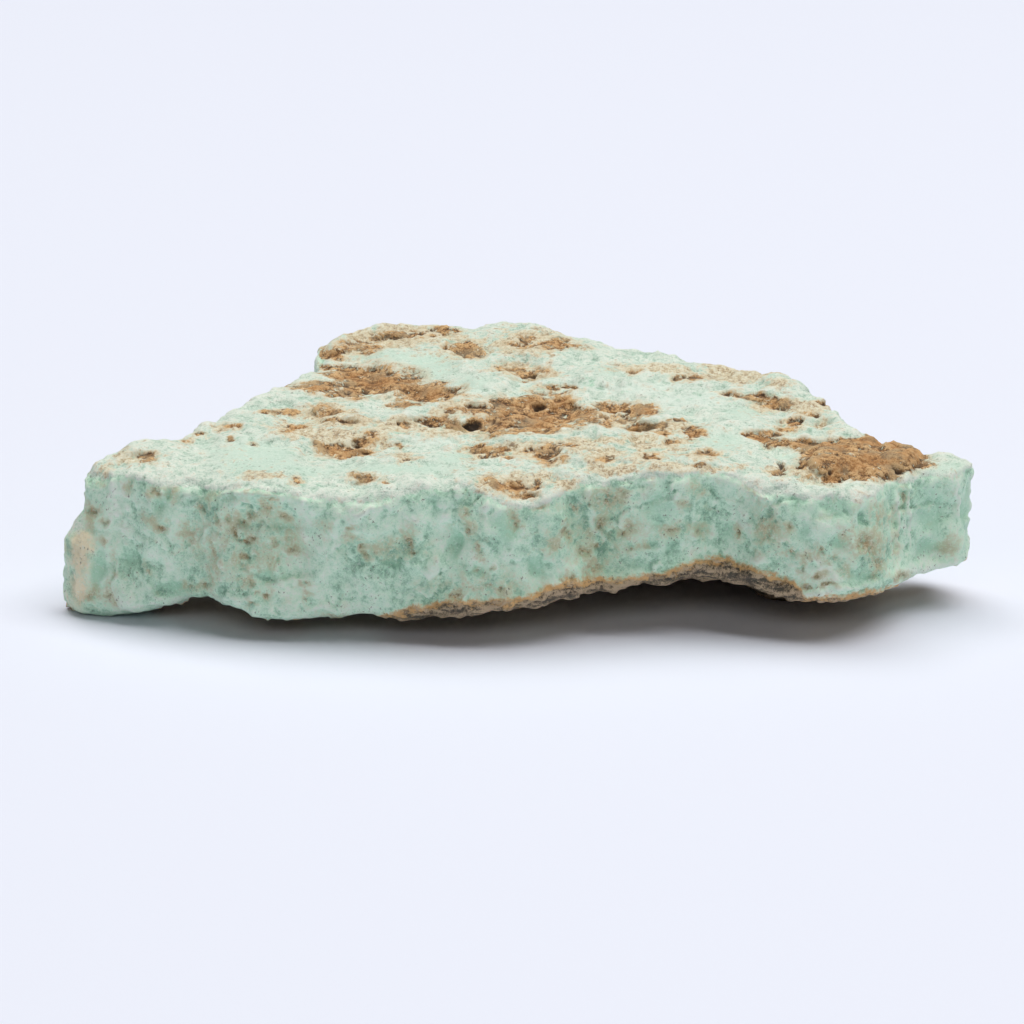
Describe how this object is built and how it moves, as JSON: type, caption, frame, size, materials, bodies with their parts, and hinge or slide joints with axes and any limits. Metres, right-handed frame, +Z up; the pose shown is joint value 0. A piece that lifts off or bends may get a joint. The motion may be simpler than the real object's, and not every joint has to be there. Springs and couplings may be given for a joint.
{
  "type": "raw chrysoprase",
  "caption": "Rough hand-sized slab of mint-green chrysoprase with brown ironstone rind on its top face and along its lower edge, lying on its underside.",
  "frame": {"origin": "middle of the stone's bounding box in plan, on the surface that its feet stand on", "axes": "+X along the stone's length, with the long broken side facing -Y; +Z up, out of the rind-spotted top face"},
  "size_m": [0.0984, 0.0574, 0.0208],
  "materials": {
    "chalcedony": "rough broken chalcedony, mint green with cream skin and rust-brown ironstone rind"
  },
  "bodies": {
    "root": {"chrysoprase": "chalcedony"}
  },
  "joints": []
}
